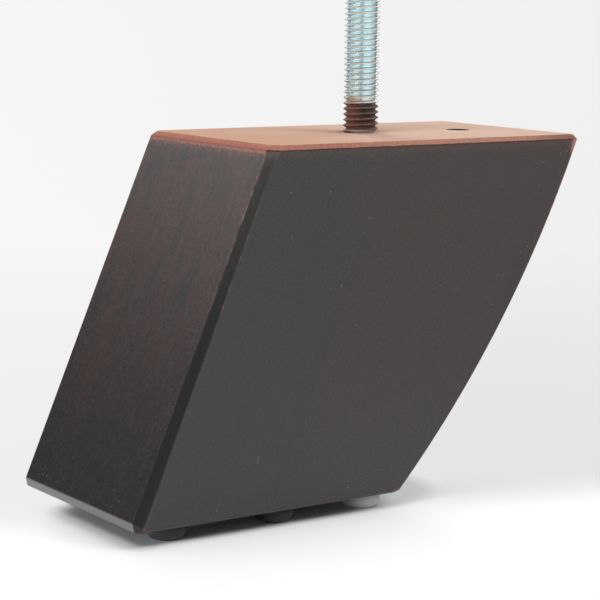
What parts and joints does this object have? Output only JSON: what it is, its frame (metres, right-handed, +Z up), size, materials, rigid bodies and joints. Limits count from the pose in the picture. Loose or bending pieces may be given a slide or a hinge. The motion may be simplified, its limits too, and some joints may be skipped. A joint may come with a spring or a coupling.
{
  "type": "wooden furniture foot",
  "caption": "Solid timber block foot with one leaning end, one bowed end, a threaded stud in its top, a locating hole and small glides underneath.",
  "frame": {"origin": "where the stud's axis leaves the top face of the block", "axes": "+Z up along the stud, +X along the broad face towards the bowed end, +Y through the block's thickness, away from the face with the locating hole nearer to it"},
  "size_m": [0.1175, 0.05, 0.1215],
  "materials": {
    "stained_timber": "dark stain on the sides, bare tan top, satin",
    "zinc_plated_steel": "zinc plated, stained near the wood",
    "glide_plastic": "soft translucent grey, glossy"
  },
  "bodies": {
    "root": {"foot_block": "stained_timber", "hanger_bolt": "zinc_plated_steel", "glide_1": "glide_plastic", "glide_2": "glide_plastic", "glide_3": "glide_plastic", "glide_4": "glide_plastic", "glide_5": "glide_plastic", "glide_6": "glide_plastic"}
  },
  "joints": []
}
